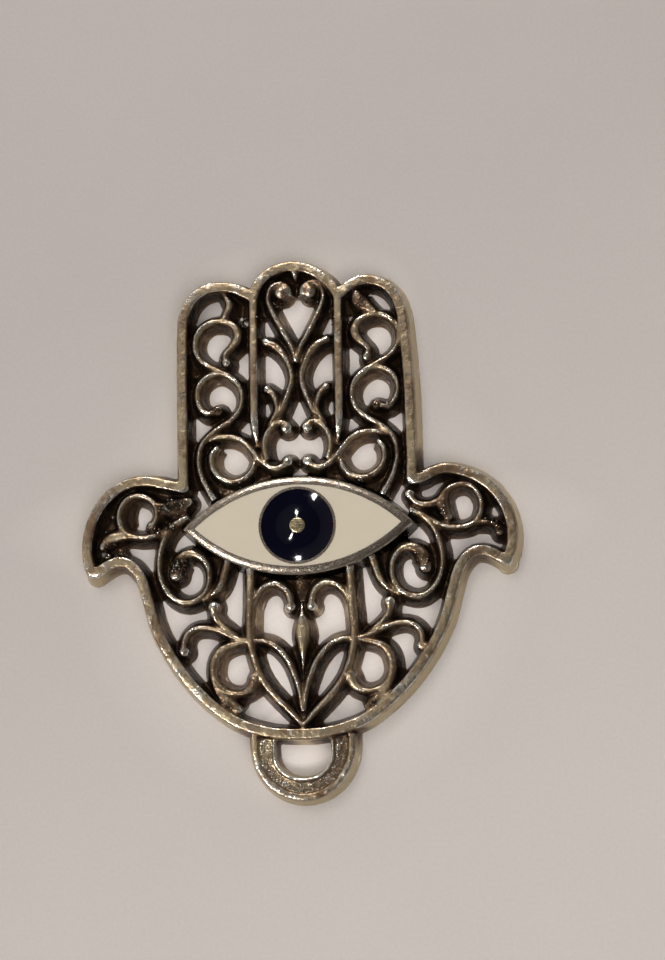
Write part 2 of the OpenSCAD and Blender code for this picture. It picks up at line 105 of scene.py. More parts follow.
DIVIDER = [[4.75, 26.2], [4.75, 14], [4.65, 11, 0.8], [4.45, 8.9, 0.4]]
CUSP = [[0, 29, 1.6], [0, 28.3, 1], [0, 27.7, 0.4]]

# Scrollwork of a side finger. Columns: across, up, width. A line that curls
# back onto itself is drawn as two, which share a stretch.
SIDE_LINES = [
    [[7.8, 18.7, 1.1], [8.1, 19.6], [7.2, 20.5, 1.2], [6.5, 21.5, 1.5], [6.9, 22.8, 1.2], [8.2, 23.5],
     [9.6, 23.5]],
    [[8.2, 23.5], [9.6, 23.5], [10.8, 22.8], [11.5, 21.5], [11.4, 20], [10.5, 18.8], [9.1, 18], [7.8, 17.3],
     [6.7, 16.4], [6.1, 15], [6.3, 13.5], [7.2, 12.3], [8.6, 11.4], [10, 10.4], [10.8, 9.3], [11.1, 7.9],
     [10.9, 6.4], [10.3, 4.9], [9.3, 3.2]],
    [[8.9, 13.4, 1.1], [10, 13], [10.9, 13.7], [11.3, 15], [11, 16.3], [10.1, 17.2], [8.9, 17.6],
     [7.6, 17.3]],
    [[9.9, 9.9, 0.8], [8.8, 10.3], [7.3, 10.3], [6, 9.7], [5, 8.6], [4.4, 7.8], [3.5, 6.95], [2.5, 6.5],
     [1.7, 6.75], [1.05, 7.3, 1.1]],
    [[8.9, 9.3, 0.8], [9.6, 8.4], [9.6, 7], [8.8, 5.8], [7.4, 5.2], [6, 5.5], [5, 6.5], [4.7, 7.9, 0.8]]
]

# Leaf at the tip of each side finger. Columns: across, up, width
LEFT_TIP = [[8.5, 27, 0.6], [7.9, 26.2], [7.4, 25.4, 1.4], [7.8, 24.5, 1.2], [8.2, 23.6]]
RIGHT_TIP = [[6.9, 26.3, 1], [6.85, 25.6, 1.9], [7.4, 24.85, 2.2], [8.4, 24.1, 1.5], [9.3, 23.5, 0.8]]

# Scrollwork of one half of the middle finger. Columns: across, up, width
MIDDLE_LINES = [
    [[0.8, 26.1], [0.8, 27], [1.7, 27.6], [2.7, 27.2], [3.15, 26.1], [2.9, 24.8], [1.3, 21.6],
     [0.5, 20.2], [0, 18.4]],
    [[3.5, 20.9, 1.1], [2.5, 20.5, 1.3], [1.5, 19.5, 1.2], [0.8, 18.1], [0.5, 16.8], [0.8, 15.4],
     [1.8, 13], [2.1, 12.2, 0.7]],
    [[3.4, 15.5, 1.1], [2.7, 15, 1.2], [2.3, 14], [2.2, 13], [2.7, 12.1], [3.3, 11.2, 0.7]],
    [[1.15, 11.1], [1.3, 11.6], [1.9, 11.8], [2.6, 11.4], [3.3, 10.7], [3.7, 9.6], [3.7, 8.5], [3.4, 7.4]]
]

# Scrollwork of a thumb. Columns: across, up, width
THUMB_LINES = [
    [[16.9, 3.8], [17.9, 4.1], [18.95, 3.9], [19.75, 3.1], [20.15, 1.9], [19.85, 0.4], [18.9, -0.45],
     [17.5, -0.7], [16, -0.5], [14.9, 0.05], [13.6, 0.85], [12.3, 1.45]]
]
# The head of the ring, the inner leaf and the outer leaf, which differ on the two
# thumbs. The left one also has a knob in its tip.
LEFT_THUMB_LEAVES = [
    [[16.45, 0.4, 1.1], [15.9, 1.2], [15.7, 2.2], [16.05, 3.1], [16.9, 3.8], [17.9, 4.1]],
    [[16.2, 3, 0.9], [15.1, 2.5, 2.1], [14, 2.5, 2.7], [12.95, 2.85, 2.3], [12.35, 3.3, 1.3]],
    [[18.6, -0.5, 1.1], [19.7, -0.4, 1.5], [20.8, -0.6, 1.9], [21.7, -1.2, 1.6], [22.1, -2, 1]],
    [[21, -2.5, 0.7], [21.6, -3.1, 0.9], [22.1, -3.9, 0.8]]
]
RIGHT_THUMB_LEAVES = [
    [[16.5, 0.5, 1.3], [16.05, 1.2, 1.6], [15.9, 2.2, 1.6], [16.15, 3.1, 1.3], [16.9, 3.8], [17.9, 4.1]],
    [[16.2, 3.1, 0.8], [15.1, 2.1, 1.2], [13.9, 1.9, 1.2], [12.8, 2.3], [12.3, 3.2, 1.2]],
    [[19.6, -0.2], [20.6, -0.25], [21.5, -0.5], [22, -1.3]]
]

# Scrollwork of one half of the palm. Columns: across, up, width
PALM_LINES = [
    [[12.9, 1.1, 0.8], [14.1, 0.3], [15, -0.9], [15.5, -2.6], [15.65, -4.4], [15.2, -6.2], [14.2, -7.5],
     [12.9, -8.1, 1.1], [11.5, -7.8, 1.1], [10.5, -6.9], [10.05, -5.6], [10.15, -4.3]],
    [[10.05, -5.6], [10.15, -4.3], [10.8, -3.2], [12, -2.6, 1.3], [13, -2.95, 1.6], [13.55, -3.8, 2],
     [13.75, -5, 1.5]],
    [[7.8, -3.1, 1.2], [8.7, -5.9, 1.2], [9.5, -7], [10.9, -7.9, 0.8]],
    [[9.7, -8.5, 1.3], [9.7, -9.5, 1.2], [9.2, -10.3], [8.2, -11.2], [7.1, -11.9, 0.7]],
    [[13.1, -13.3, 1.2], [13.1, -12.3, 1.1], [12.55, -11.35], [11.6, -10.85], [10.3, -10.9], [8.9, -11.35],
     [7.3, -12.1], [6, -12.5]],
    [[6, -12.6, 0.8], [7.1, -12.7], [8.3, -13, 1.2], [9.3, -13.7, 1.3], [9.8, -15, 1.4], [9.75, -16.3, 1.3],
     [9, -17.5, 1.1], [7.8, -18.1], [6.5, -18.1, 1.1], [5.5, -17.4, 1.5], [5.2, -16.5, 1.5]],
    [[10, -16.4, 0.9], [9.3, -17.8, 1.2], [8.4, -18.9, 1.8], [7.5, -19.7, 2], [6.8, -20.2, 1.1]],
    [[5.5, -4.4, 1.3], [5.6, -8.5, 1.4], [5.75, -10.6, 1.4], [5.7, -12.4, 1.3], [5.35, -14.2, 1.2],
     [4.75, -16, 1.2], [3.85, -17.5, 1.2], [2.65, -18.9, 1.2], [1.15, -20.4, 1.1], [0, -21.8]],
    [[5.3, -8.7, 0.8], [4.9, -7.4], [4.1, -6.6], [3.2, -6.25, 1.1], [2.3, -6.4, 1.1], [1.5, -7.1, 1.1],
     [1.15, -8.1, 1.1], [1.1, -8.8, 1.1]],
    [[5.6, -12.4, 0.9], [4.3, -12.45], [3.2, -12.9], [2.3, -13.7], [1.5, -14.8], [0.9, -16.2], [0.35, -17.9],
     [0.1, -20.2, 0.8]]
]

# Bud and stalk near the palm's middle line. Columns: across, up, width
BUD = [[0.05, -8.3, 0.4], [0.05, -9.4, 0.7], [0.05, -10.7, 1.7], [0.05, -12, 2.1], [0.05, -13.3, 1.4],
    [0.05, -14.8, 0.7], [0.05, -17, 0.4], [0.05, -21.8, 0.6]]

# Beads at the ends of the scrolls. Columns: across, up, size
SIDE_BEADS = [[8.9, 13.3, 1], [7.9, 18.7, 0.95]]
MIDDLE_BEADS = [[1.6, 26.5, 1.4], [1.2, 11.1, 1.1], [1.1, 7.25, 1], [3.4, 20.9, 0.9], [3.3, 15.5, 0.9]]
THUMB_BEADS = [[16.4, 0.5, 1], [12.35, 3.1, 1]]
RIGHT_THUMB_BEAD = [22, -1.3, 0.95]
PALM_BEADS = [[13.75, -4.9, 1.3], [9.7, -8.6, 1.1], [13.1, -13.4, 1.1], [5.2, -16.4, 1.1],
    [1.15, -8.8, 1]]

# Webs that close narrow gaps. Columns: across, up, width
SIDE_WEBS = [[[12.2, 18.6], [11.8, 17.4]], [[8.8, 4.2, 1.3], [6.6, 4.7], [4.6, 5.3], [3.2, 5.8]],
    [[10, 5.6, 1.5], [9.3, 4.4, 1.5]], [[5.5, 25.6], [5.7, 23.8]]]
THUMB_WEBS = [[[15.2, 1], [13.4, 1.6]]]
# Webs that are drawn once
CUSP_WEB = [[0, 28], [0, 26.4]]
BUD_WEB = [[0.02, -5.4, 2], [0.02, -8.7]]
LEFT_THUMB_WEBS = [[[16, 3.9, 1.6], [13.2, 3.3, 1.6]], [[19.7, -1.3, 1.8], [21.5, -2.4, 2.7]],
    [[20.6, 1.4, 1.6], [21.3, 0.2, 1.8]], [[18.6, 3.2, 0.8], [19.2, 2, 1.3], [18.8, 0.7, 0.8]]]
PALM_WEBS = [[[9.3, -2.5], [9.3, -4.8], [9.7, -6]], [[5.4, -4.9], [-0.5, -5.8]],
    [[10.7, -16.6], [9.6, -18.6]], [[13.4, -13.6], [13.8, -14.4]]]


# Modelling helpers

def select_only(*pieces):
    bpy.ops.object.select_all(action="DESELECT")
    for piece in pieces:
        piece.select_set(True)
    bpy.context.view_layer.objects.active = pieces[0]


def finish_with(piece, kind, **settings):
    """Adds one modifier and applies it."""
    select_only(piece)
    step = piece.modifiers.new(kind.title(), kind)
    for name, value in settings.items():
        setattr(step, name, value)
    bpy.ops.object.modifier_apply(modifier=step.name)


def join(pieces, name):
    select_only(*pieces)
    bpy.ops.object.join()
    pieces[0].name = name
    return pieces[0]


def settle(piece):
    """Puts the place, turn and scale of a piece into its mesh."""
    select_only(piece)
    bpy.ops.object.transform_apply(location=True, rotation=True, scale=True)


def pick_faces(piece, wanted):
    """Goes into edit mode with only the faces selected whose centre and normal are wanted."""
    select_only(piece)
    bpy.ops.object.mode_set(mode="EDIT")
    bpy.ops.mesh.select_mode(type="FACE")
    bpy.ops.mesh.select_all(action="DESELECT")
    bpy.ops.object.mode_set(mode="OBJECT")
    for face in piece.data.polygons:
        face.select = wanted(face.center, face.normal)
    bpy.ops.object.mode_set(mode="EDIT")


def pick_points(piece, wanted):
    select_only(piece)
    bpy.ops.object.mode_set(mode="EDIT")
    bpy.ops.mesh.select_mode(type="VERT")
    bpy.ops.mesh.select_all(action="DESELECT")
    bpy.ops.object.mode_set(mode="OBJECT")
    for point in piece.data.vertices:
        point.select = wanted(point.co)
    bpy.ops.object.mode_set(mode="EDIT")


def done():
    bpy.ops.object.mode_set(mode="OBJECT")


# The cast lines

def smooth_path(points):
    """A smooth curve past the given points, with each station's share of the width as z."""
    knots = [Vector((p[0], p[1], p[2] if len(p) > 2 else 1.0)) for p in points]
    path = []
    for i in range(len(knots) - 1):
        b, c = knots[i], knots[i + 1]
        a = knots[i - 1] if i > 0 else 2 * b - c
        d = knots[i + 2] if i < len(knots) - 2 else 2 * c - b
        steps = max(2, math.ceil((c - b).xy.length / PATH_STEP))
        for k in range(steps):
            t = k / steps
            path.append((2 * b + (c - a) * t + (2 * a - 5 * b + 4 * c - d) * t * t
                         + (3 * b - a - 3 * c + d) * t ** 3) / 2)
    path.append(knots[-1])
    for _ in range(PATH_EVENING):
        path = [path[0]] + [(a + 2 * b + c) / 4 for a, b, c in zip(path, path[1:], path[2:])] + [path[-1]]
    return path


# Half of the section across a scroll and a frame bar, from its middle to the top of its wall.
# Columns: share of the half width, share of the rounding's depth
SCROLL_SECTION = [(0, 0), (0.14, 0.03), (0.28, 0.12), (0.48, 0.32), (0.74, 0.62), (1, 1)]
BAR_SECTION = [(0, 0.12), (0.5, 0.1), (0.74, 0), (0.86, 0.08), (0.95, 0.4), (1, 1)]
# How much of the crest is flattened where a line is wide, from which share of
# the width, and over how much more of it
PLATEAU, PLATEAU_FROM, PLATEAU_OVER = 0.85, 1.02, 0.25


def station(path, i, width, height, rounding, section):
    """The points of the section at one place of a path, kept short of the middle of a tight curl."""
    last = len(path) - 1
    here = path[i].xy
    way = (path[min(i + 1, last)].xy - path[max(i - 1, 0)].xy).normalized()
    across = Vector((way.y, -way.x))
    j = max(1, min(i, last - 1))
    u, v = path[j].xy - path[j - 1].xy, path[min(j + 1, last)].xy - path[j].xy
    turn = 2 * u.cross(v) / max(u.length * v.length * (u + v).length, 1e-9) if last > 1 else 0
    share = path[i].z
    half, top = width * share / 2, height * (1 - THIN_DROP * max(0, 1 - share))
    depth = min(rounding, half)
    plateau = PLATEAU * min(1, max(0, (share - PLATEAU_FROM) / PLATEAU_OVER))
    right = [(s * half, top - depth * (d - plateau * d * (1 - s * s))) for s, d in section]
    slope = DRAFT if section is BAR_SECTION else SCROLL_DRAFT
    right.append((half + (top - depth + BACK_CUT) * slope, -BACK_CUT))
    outline = [(-s, z) for s, z in reversed(right[1:])] + right
    ring = []
    for s, z in outline:
        if s * turn < 0:
            s = math.copysign(min(abs(s), CURL_FILL / abs(turn)), s)
        ring.append((here.x + across.x * s, here.y + across.y * s, z))
    return ring


def cast_line(body, points, width, height, rounding, section):
    """Sweeps the section along a smooth path."""
    path = smooth_path(points)
    rings = [[body.verts.new(p) for p in station(path, i, width, height, rounding, section)]
             for i in range(len(path))]
    count = len(rings[0])
    for one, two in zip(rings, rings[1:]):
        for k in range(count):
            n = (k + 1) % count
            body.faces.new((one[k], two[k], two[n], one[n]))
    body.faces.new(rings[0])
    body.faces.new(reversed(rings[-1]))


def on_side(points, side, lean=True):
    """A table's points on the left (-1) or right (1) half of the pendant, with the palm's lean."""
    placed = []
    for p in points:
        off = PALM_LEAN * min(1, max(0, -p[1] / LEAN_DEPTH)) if lean else 0
        placed.append([side * p[0] + off, *p[1:]])
    return placed


def cast_frame(body):
    def bar(points, width=FRAME_W):
        cast_line(body, points, width, FRAME_T, FRAME_ROUND, BAR_SECTION)

    for side, finger, thumb in ((-1, LEFT_FINGER, LEFT_THUMB), (1, RIGHT_FINGER, RIGHT_THUMB)):
        bar(on_side(finger, side, lean=False))
        bar(on_side(thumb, side, lean=False))
        bar(on_side(THUMB_UNDER + PALM_FRAME, side, lean=False))
        bar(on_side(DIVIDER, side, lean=False), LINE_W)
    bar(ARCH)
    cast_line(body, CUSP, LINE_W, FRAME_T, LINE_ROUND, SCROLL_SECTION)


def cast_scrolls(body):
    def scroll(points, side):
        cast_line(body, on_side(points, side), LINE_W, SCROLL_T, LINE_ROUND, SCROLL_SECTION)

    def web(points, side):
        cast_line(body, on_side(points, side), LINE_W, WEB_T, WEB_T / 4, SCROLL_SECTION)

    for side in (-1, 1):
        for points in SIDE_LINES + MIDDLE_LINES + THUMB_LINES + PALM_LINES:
            scroll(points, side)
        for points in SIDE_WEBS + THUMB_WEBS + PALM_WEBS:
            web(points, side)
    scroll(LEFT_TIP, -1)
    scroll(RIGHT_TIP, 1)
    scroll(BUD, 1)
    for points in LEFT_THUMB_LEAVES:
        scroll(points, -1)
    for points in RIGHT_THUMB_LEAVES:
        scroll(points, 1)
    for points in LEFT_THUMB_WEBS:
        web(points, -1)
    web(CUSP_WEB, 1)
    web(BUD_WEB, 1)


def make_bead(sides=20, swell=1.1, squash=0.85, stalk=2.2):
    """A round bead on a sloping stalk, about one millimetre across, with its top just below zero."""
    bpy.ops.mesh.primitive_uv_sphere_add(segments=sides, ring_count=12, radius=0.5, location=(0, 0, -0.5),
                                         scale=(swell, swell, squash))
    ball = bpy.context.object
    bpy.ops.mesh.primitive_cone_add(vertices=sides, radius1=0.5 + 2 * SCROLL_DRAFT, radius2=0.5, depth=stalk,
                                    location=(0, 0, -0.4 - stalk / 2))
    return join([ball, bpy.context.object], "bead")


def bead_places(rise=0.02):
    """Across, up, diameter and top of each bead, and of the round corners at both ends of a thumb's bar."""
    for side in (-1, 1):
        outer = [RIGHT_THUMB_BEAD] if side > 0 else []
        for across, up, size in SIDE_BEADS + MIDDLE_BEADS + THUMB_BEADS + outer + PALM_BEADS:
            x = on_side([[across, up]], side)[0][0]
            yield x, up, BEAD_D * size, SCROLL_T + rise
        thumb = RIGHT_THUMB if side > 0 else LEFT_THUMB
        for across, up in (thumb[0], thumb[-1]):
            yield side * across, up, FRAME_W, FRAME_T


def copy_of(pattern, place, size):
    """A copy with a mesh of its own, brought to its place and size."""
    copy = pattern.copy()
    copy.data = pattern.data.copy()
    copy.data.transform(Matrix.Translation(place) @ Matrix.Diagonal((*size, 1)))
    bpy.context.collection.objects.link(copy)
    return copy


# The bail

def bail_plate(half_width, shoulder, foot, top_y, low, high, sides=96):
    """A plate with a straight top edge, straight shoulders and a half round foot."""
    bpy.ops.mesh.primitive_cylinder_add(vertices=sides, radius=1, depth=high - low,
                                        location=(PALM_LEAN, top_y - shoulder, (low + high) / 2))
    plate = bpy.context.object
    plate.scale = (half_width, foot - shoulder, 1)
    pick_points(plate, lambda co: co.y > 1e-4)
    bpy.ops.transform.resize(value=(1, 0, 1), center_override=plate.location)
    done()
    settle(plate)
    edge = top_y - shoulder - 1e-3
    pick_points(plate, lambda co: co.y > edge and abs(co.x - PALM_LEAN) < half_width * 0.9999)
    bpy.ops.transform.translate(value=(0, shoulder, 0))
    done()
    return plate


def cut(piece, tool):
    """Takes the tool's form out of a piece."""
    finish_with(piece, "BOOLEAN", operation="DIFFERENCE", object=tool, solver="EXACT")
    bpy.data.objects.remove(tool)


def make_bail():
    """The loop with its sloping walls, its opening, and the sunk field between its border and a lip."""
    foot = BAIL_FOOT - FOOT_Y
    bail = bail_plate(BAIL_W / 2, BAIL_SHOULDER, foot, -FOOT_Y, -BACK_CUT, BAIL_T)
    slope = (BAIL_T + BACK_CUT) * DRAFT
    pick_points(bail, lambda co: co.z < 0)
    bpy.ops.transform.resize(value=(1 + 2 * slope / BAIL_W, 1 + slope / foot, 1),
                             center_override=(PALM_LEAN, -FOOT_Y, 0))
    done()
    opening = bail_plate(OPENING_W / 2, OPENING_SHOULDER, OPENING_H, -PALM_H, -1, BAIL_T + 1)
    pick_points(opening, lambda co: co.z < 0)
    bpy.ops.transform.resize(value=(1 - 2 * slope / OPENING_W, 1 - slope / OPENING_H, 1),
                             center_override=(PALM_LEAN, -PALM_H - slope / 2, 0))
    done()
    cut(bail, opening)
    low, high = BAIL_T - FIELD_DEPTH, BAIL_T + 1
    field = bail_plate(BAIL_W / 2 - BORDER_W, BAIL_SHOULDER, foot - BORDER_W, -FOOT_Y, low, high)
    lip = BORDER_W / 5
    cut(field, bail_plate(OPENING_W / 2 + lip, OPENING_SHOULDER + lip, OPENING_H + 2 * lip, -PALM_H + lip,
                          low - 1, high + 1))
    cut(bail, field)
    return bail


# Patches of small grains on leaves and webs. Columns: side, across, up, reach across, reach up, count
GRAIN_PATCHES = [
    [-1, 20.8, -2.1, 1.4, 0.9, 40], [-1, 13.9, 2.5, 1.7, 1.1, 34], [-1, 16.3, 0, 0.9, 0.5, 12],
    [-1, 14.4, 0.5, 0.8, 0.4, 8], [-1, 13.2, -4.3, 1.2, 1.3, 40], [-1, 11.8, -13.1, 0.5, 0.8, 8],
    [-1, 6.1, 23.6, 0.5, 1, 10], [-1, 3.9, 23.6, 0.6, 1, 10], [-1, 1.8, 25.2, 1.1, 0.5, 22],
    [-1, 11.2, 17.3, 0.5, 0.5, 6], [-1, 9.3, 13.2, 0.9, 0.5, 8], [-1, 7, 4.8, 2.2, 0.5, 12],
    [-1, 7.9, -19.3, 0.7, 0.5, 6],
    [1, 21.3, -0.4, 1.2, 0.7, 14], [1, 16.3, 1.2, 0.6, 0.6, 8], [1, 13.3, -4.4, 1.1, 1.2, 22],
    [1, 11.8, -13.1, 0.5, 0.8, 5], [1, 6.1, 23.6, 0.5, 1, 8], [1, 3.9, 23.6, 0.6, 1, 8],
    [1, 1.8, 25.2, 1.1, 0.5, 18], [1, 9.3, 13.2, 0.9, 0.5, 12], [1, 7.3, 24.9, 0.7, 0.6, 7],
    [1, 7, 4.8, 2.2, 0.5, 9], [1, 14.2, 3.4, 1.2, 0.5, 6], [1, 7.9, -19.3, 0.7, 0.5, 6]
]


def in_bail(x, y, half_width, middle, depth):
    """Whether a place lies within a form with straight sides and a half round foot."""
    return abs(x) < half_width and (y > middle or (x / half_width) ** 2 + ((y - middle) / depth) ** 2 < 1)


def surface_tree(piece):
    """A tree of a piece's faces, on which rays can be cast."""
    mesh = piece.data
    return BVHTree.FromPolygons([v.co for v in mesh.vertices], [tuple(f.vertices) for f in mesh.polygons])


def stipple(casting, field_grains=420, margin=0.3, above=5, seed=7):
    """Small raised grains in the bail's field and on the leaves, in no order that could be read."""
    bpy.ops.mesh.primitive_uv_sphere_add(segments=8, ring_count=4, radius=0.5)
    grain = bpy.context.object
    rng = random.Random(seed)
    grains = []
    middle, foot = -FOOT_Y - BAIL_SHOULDER, -BAIL_FOOT + BORDER_W
    open_middle, open_foot = -PALM_H - OPENING_SHOULDER, -PALM_H - OPENING_H
    while len(grains) < field_grains:
        x, y = rng.uniform(-BAIL_W / 2, BAIL_W / 2), rng.uniform(foot, -PALM_H)
        size = rng.uniform(*FIELD_GRAIN)
        if (in_bail(x, y, BAIL_W / 2 - BORDER_W, middle, middle - foot)
                and not in_bail(x, y, OPENING_W / 2 + margin, open_middle, open_middle - open_foot + margin)):
            grains.append(copy_of(grain, (x + PALM_LEAN, y, BAIL_T - FIELD_DEPTH),
                                  (size, size, size * rng.uniform(0.7, 1.3))))
    tree = surface_tree(casting)
    for side, across, up, reach_x, reach_y, count in GRAIN_PATCHES:
        centre_x, centre_y = on_side([[across, up]], side)[0]
        for _ in range(count):
            around, out = rng.uniform(0, math.tau), math.sqrt(rng.random())
            size, rise = rng.uniform(*LEAF_GRAIN), rng.uniform(0.7, 1.1)
            x, y = centre_x + reach_x * out * math.cos(around), centre_y + reach_y * out * math.sin(around)
            place = tree.ray_cast((x, y, above), (0, 0, -1))[0]
            if place is not None and place.z > WEB_T / 2:
                grains.append(copy_of(grain, place, (size, size, size * rise)))
    bpy.data.objects.remove(grain)
    return grains


# The whole casting

def make_casting():
    """All the cast metal but the eye's setting, as one skin that is flat at the back."""
    body = bmesh.new()
    cast_frame(body)
    cast_scrolls(body)
    bmesh.ops.recalc_face_normals(body, faces=body.faces)
    mesh = bpy.data.meshes.new("pierced_casting")
    body.to_mesh(mesh)
    body.free()
    casting = bpy.data.objects.new("pierced_casting", mesh)
    bpy.context.collection.objects.link(casting)
    pattern = make_bead()
    beads = [copy_of(pattern, (x, y, top), (d, d, d)) for x, y, d, top in bead_places()]
    bpy.data.objects.remove(pattern)
    casting = join([casting, make_bail(), *beads], "pierced_casting")
    finish_with(casting, "REMESH", mode="VOXEL", voxel_size=VOXEL, adaptivity=0)
    finish_with(casting, "SMOOTH", factor=0.5, iterations=MESH_EVENING)
    clouds = bpy.data.textures.new("cast_unevenness", "CLOUDS")
    clouds.noise_scale = SKIN_SIZE
    finish_with(casting, "DISPLACE", texture=clouds, strength=SKIN_DEPTH, mid_level=0.5)
    triangles = 2 * len(casting.data.polygons)
    finish_with(casting, "DECIMATE", ratio=min(1, CASTING_TRIANGLES / triangles))
    bpy.ops.mesh.primitive_cube_add(size=BLOCK, location=(0, 0, -BLOCK / 2))
    block = bpy.context.object
    finish_with(casting, "BOOLEAN", operation="DIFFERENCE", object=block, solver="FAST")
    bpy.data.objects.remove(block)
    casting = join([casting, *stipple(casting)], "pierced_casting")
    note_wear(casting)
    return casting


# Wear

def open_directions(count):
    """Evenly spread directions over a half round, with z along the surface's normal."""
    golden = math.pi * (3 - math.sqrt(5))
    spread = []
    for k in range(count):
        z = math.sqrt((k + 0.5) / count)
        spread.append(Vector((math.sqrt(1 - z * z) * math.cos(k * golden),
                              math.sqrt(1 - z * z) * math.sin(k * golden), z)))
    return spread


def evened(values, edges, times):
    """Spreads each point's value over its neighbours."""
    counts = np.bincount(edges.ravel(), minlength=len(values)) + 1
    for _ in range(times):
        total = values.copy()
        np.add.at(total, edges[:, 0], values[edges[:, 1]])
        np.add.at(total, edges[:, 1], values[edges[:, 0]])
        values = total / counts
    return values


def note_wear(piece, lift=0.02, evening=2):
    """Stores on each point how sheltered it is and how sharply the metal is curved there."""
    mesh = piece.data
    points = np.empty(len(mesh.vertices) * 3, np.float32)
    normals = np.empty(len(mesh.vertices) * 3, np.float32)
    edges = np.empty(len(mesh.edges) * 2, np.int32)
    mesh.vertices.foreach_get("co", points)
    mesh.vertices.foreach_get("normal", normals)
    mesh.edges.foreach_get("vertices", edges)
    points, normals, edges = points.reshape(-1, 3), normals.reshape(-1, 3), edges.reshape(-1, 2)
    gap = points[edges[:, 0]] - points[edges[:, 1]]
    turn = normals[edges[:, 0]] - normals[edges[:, 1]]
    bend = (gap * turn).sum(1) / np.maximum((gap * gap).sum(1), 1e-4)
    counts = np.maximum(np.bincount(edges.ravel(), minlength=len(points)), 1)
    bends = np.bincount(edges[:, 0], bend, len(points)) + np.bincount(edges[:, 1], bend, len(points))
    curved = evened(bends / counts, edges, evening)
    tree = surface_tree(piece)
    spread = open_directions(SHELTER_WAYS)
    blocked = np.zeros(len(points))
    for i, (at, normal) in enumerate(zip(points, normals)):
        normal = Vector(normal)
        turned = normal.to_track_quat("Z", "Y").to_matrix()
        start = Vector(at) + normal * lift
        blocked[i] = sum(tree.ray_cast(start, turned @ way, SHELTER_REACH)[0] is not None for way in spread)
    blocked = evened(blocked / len(spread), edges, evening)
    for name, values in (("sheltered", blocked), ("curved", curved)):
        layer = mesh.attributes.new(name, "FLOAT", "POINT")
        layer.data.foreach_set("value", values.astype(np.float32))


# The eye

# Radius of the two round discs whose shared part is the eye
EYE_R = (EYE_L ** 2 / 4 + EYE_H ** 2 / 4) / EYE_H

# How the rim's top rises from its outer edge. Columns: how far in, how far up
SHOULDER = [(0.08, 0.08), (0.1, 0.055), (0.26, 0.087), (0.12, 0.02)]


def almond_plate(inset, low, high, shoulder=()):
    """A plate in the shape of the eye: what two round discs share."""
    high -= sum(up for _, up in shoulder)
    discs = []
    for up in (1, -1):
        bpy.ops.mesh.primitive_cylinder_add(vertices=360, radius=EYE_R - inset, depth=high - low,
                                            location=(0, up * (EYE_R - EYE_H / 2), (low + high) / 2))
        discs.append(bpy.context.object)
        settle(discs[-1])
        if shoulder:
            pick_faces(discs[-1], lambda centre, normal: normal.z > 0.9)
            for thickness, rise in shoulder:
                bpy.ops.mesh.inset(thickness=thickness, depth=0)
                bpy.ops.transform.translate(value=(0, 0, rise))
            done()
    finish_with(discs[0], "BOOLEAN", operation="INTERSECT", object=discs[1], solver="EXACT")
    bpy.data.objects.remove(discs[1])
    return discs[0]


def disc(diameter, low, high, sides=128):
    bpy.ops.mesh.primitive_cylinder_add(vertices=sides, radius=diameter / 2, depth=high - low,
                                        location=(0, 0, (low + high) / 2))
    settle(bpy.context.object)
    return bpy.context.object


def without_slivers(piece, reach):
    """Merges points that lie closer together than reach, which a cut leaves at the eye's tips."""
    pick_points(piece, lambda co: True)
    bpy.ops.mesh.remove_doubles(threshold=reach)
    done()
    return piece


def make_eye_setting():
    """The rim with its pocket, the iris ring and the pupil dot."""
    floor = EYE_T - POCKET
    bezel = almond_plate(0, 0, EYE_T, SHOULDER)
    slope = EYE_T * DRAFT
    pick_points(bezel, lambda co: co.z < 0.1)
    bpy.ops.transform.resize(value=(1 + 2 * slope / EYE_L, 1 + 2 * slope / EYE_H, 1))
    done()
    cut(bezel, almond_plate(EYE_RIM, floor, EYE_T + 1))
    ring = disc(IRIS_D + 2 * IRIS_RING, floor - SINK, EYE_T)
    cut(ring, disc(IRIS_D, floor, EYE_T + 1))
    pupil = disc(PUPIL_D, floor - SINK, EYE_T + PUPIL_RISE)
    finish_with(pupil, "BEVEL", width=PUPIL_ROUND, segments=6, limit_method="ANGLE")
    setting = join([bezel, ring], "eye_setting")
    finish_with(setting, "BEVEL", width=RIM_ROUND, segments=3, limit_method="ANGLE",
                angle_limit=math.radians(50))
    return without_slivers(join([setting, pupil], "eye_setting"), SETTING_MERGE)


def make_white_enamel():
    """The flat filling between the rim and the iris ring."""
    enamel = almond_plate(EYE_RIM - OVERLAP, EYE_T - POCKET, EYE_T - WHITE_DROP)
    cut(enamel, disc(IRIS_D + 2 * IRIS_RING - 2 * OVERLAP, 0, EYE_T + 1))
    finish_with(enamel, "BEVEL", width=WHITE_ROUND, segments=3, limit_method="ANGLE",
                angle_limit=math.radians(40))
    enamel.name = "white_enamel_fill"
    return without_slivers(enamel, WHITE_MERGE)


def make_blue_enamel(slope=0.21, rounding=0.25, bowl=0.1, under_pupil=0.1, steps=24):
    """A glossy pool, hollow between the ring and the pupil, with flanks that are nearly straight."""
    enamel = disc(IRIS_D + 2 * OVERLAP, EYE_T - POCKET, EYE_T - BLUE_DROP)
    width = (IRIS_D - PUPIL_D) / 2 + under_pupil
    aside = [width * (k / steps - 0.5) for k in range(steps + 1)]
    level = [slope * rounding * math.log(math.cosh(t / rounding)) + bowl * t * t / 2 for t in aside]
    pick_faces(enamel, lambda centre, normal: normal.z > 0.9)
    for before, after in zip(level, level[1:]):
        bpy.ops.mesh.inset(thickness=width / steps, depth=0)
        bpy.ops.transform.translate(value=(0, 0, after - before))
    done()
    enamel.name = "blue_enamel_fill"
    return enamel


# Finishes

